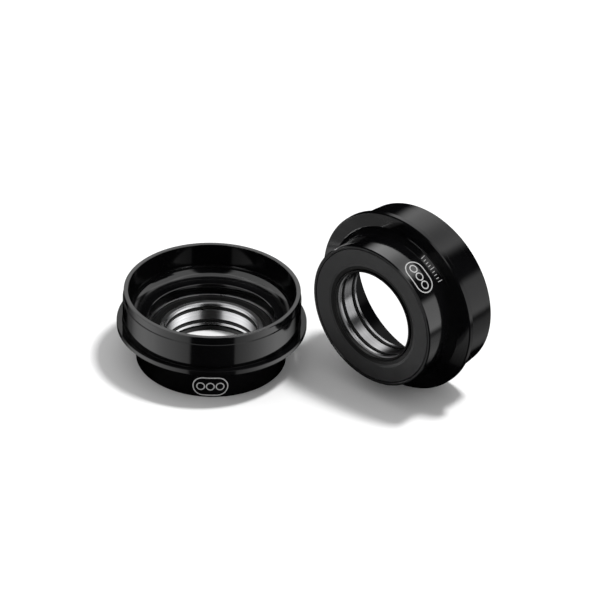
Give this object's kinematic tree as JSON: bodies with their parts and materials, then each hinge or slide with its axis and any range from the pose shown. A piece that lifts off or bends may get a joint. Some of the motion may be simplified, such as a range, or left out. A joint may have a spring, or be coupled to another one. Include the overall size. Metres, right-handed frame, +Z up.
{
  "type": "bottom bracket",
  "caption": "Press-fit bottom bracket: flanged bearing cups with sealed cartridge bearings for a through crank spindle, one standing and one lying.",
  "frame": {"origin": "on the surface that both cups rest on, under the middle of the pair's bounding box", "axes": "+Z up, along the standing left cup's own axis from its outboard end to its mouth; +Y along the lying right cup's own axis, from its outboard face to its mouth; +X from the left cup towards the right cup"},
  "size_m": [0.091, 0.0582, 0.049],
  "materials": {
    "black_anodised_aluminium": "glossy black anodised, fine turning marks",
    "satin_black_cover": "satin",
    "black_rubber": "matt",
    "bearing_steel": "ground",
    "ball_steel": "polished",
    "cage_polymer": "moulded"
  },
  "bodies": {
    "left_cup": {"left_cup_shell": "black_anodised_aluminium", "left_dust_cover": "satin_black_cover", "left_lip_seal": "black_rubber", "left_outer_ring": "bearing_steel", "left_outboard_seal": "black_rubber", "left_inboard_seal": "black_rubber"},
    "left_inner_ring": {"left_inner_ring": "bearing_steel", "left_outboard_o_ring": "black_rubber", "left_inboard_o_ring": "black_rubber"},
    "left_ball_set": {"left_ball_cage": "cage_polymer", "left_ball_01": "ball_steel", "left_ball_02": "ball_steel", "left_ball_03": "ball_steel", "left_ball_04": "ball_steel", "left_ball_05": "ball_steel", "left_ball_06": "ball_steel", "left_ball_07": "ball_steel", "left_ball_08": "ball_steel", "left_ball_09": "ball_steel", "left_ball_10": "ball_steel", "left_ball_11": "ball_steel", "left_ball_12": "ball_steel", "left_ball_13": "ball_steel", "left_ball_14": "ball_steel", "left_ball_15": "ball_steel"},
    "right_cup": {"right_cup_shell": "black_anodised_aluminium", "right_dust_cover": "satin_black_cover", "right_lip_seal": "black_rubber", "right_outer_ring": "bearing_steel", "right_outboard_seal": "black_rubber", "right_inboard_seal": "black_rubber"},
    "right_inner_ring": {"right_inner_ring": "bearing_steel", "right_outboard_o_ring": "black_rubber", "right_inboard_o_ring": "black_rubber"},
    "right_ball_set": {"right_ball_cage": "cage_polymer", "right_ball_01": "ball_steel", "right_ball_02": "ball_steel", "right_ball_03": "ball_steel", "right_ball_04": "ball_steel", "right_ball_05": "ball_steel", "right_ball_06": "ball_steel", "right_ball_07": "ball_steel", "right_ball_08": "ball_steel", "right_ball_09": "ball_steel", "right_ball_10": "ball_steel", "right_ball_11": "ball_steel", "right_ball_12": "ball_steel", "right_ball_13": "ball_steel", "right_ball_14": "ball_steel", "right_ball_15": "ball_steel"}
  },
  "joints": [
    {"name": "left_inner_ring_spin", "type": "hinge", "parent": "left_cup", "child": "left_inner_ring", "pos_m": [-0.021, -0.0046, 0.005], "axis": [0, 0, 1], "continuous": true},
    {"name": "left_ball_set_spin", "type": "hinge", "parent": "left_cup", "child": "left_ball_set", "pos_m": [-0.021, -0.0046, 0.005], "axis": [0, 0, 1], "continuous": true},
    {"name": "right_cup_press_slide", "type": "slide", "parent": "left_cup", "child": "right_cup", "axis": [0, 1, 0], "range_m": [0, 0.00915]},
    {"name": "right_inner_ring_spin", "type": "hinge", "parent": "right_cup", "child": "right_inner_ring", "pos_m": [0.021, 0.0138, 0.0245], "axis": [0, 1, 0], "continuous": true},
    {"name": "right_ball_set_spin", "type": "hinge", "parent": "right_cup", "child": "right_ball_set", "pos_m": [0.021, 0.0138, 0.0245], "axis": [0, 1, 0], "continuous": true}
  ],
  "couplings": [
    {"joint": "left_ball_set_spin", "follows": "left_inner_ring_spin", "ratio": 0.4426},
    {"joint": "right_ball_set_spin", "follows": "right_inner_ring_spin", "ratio": 0.4426}
  ]
}
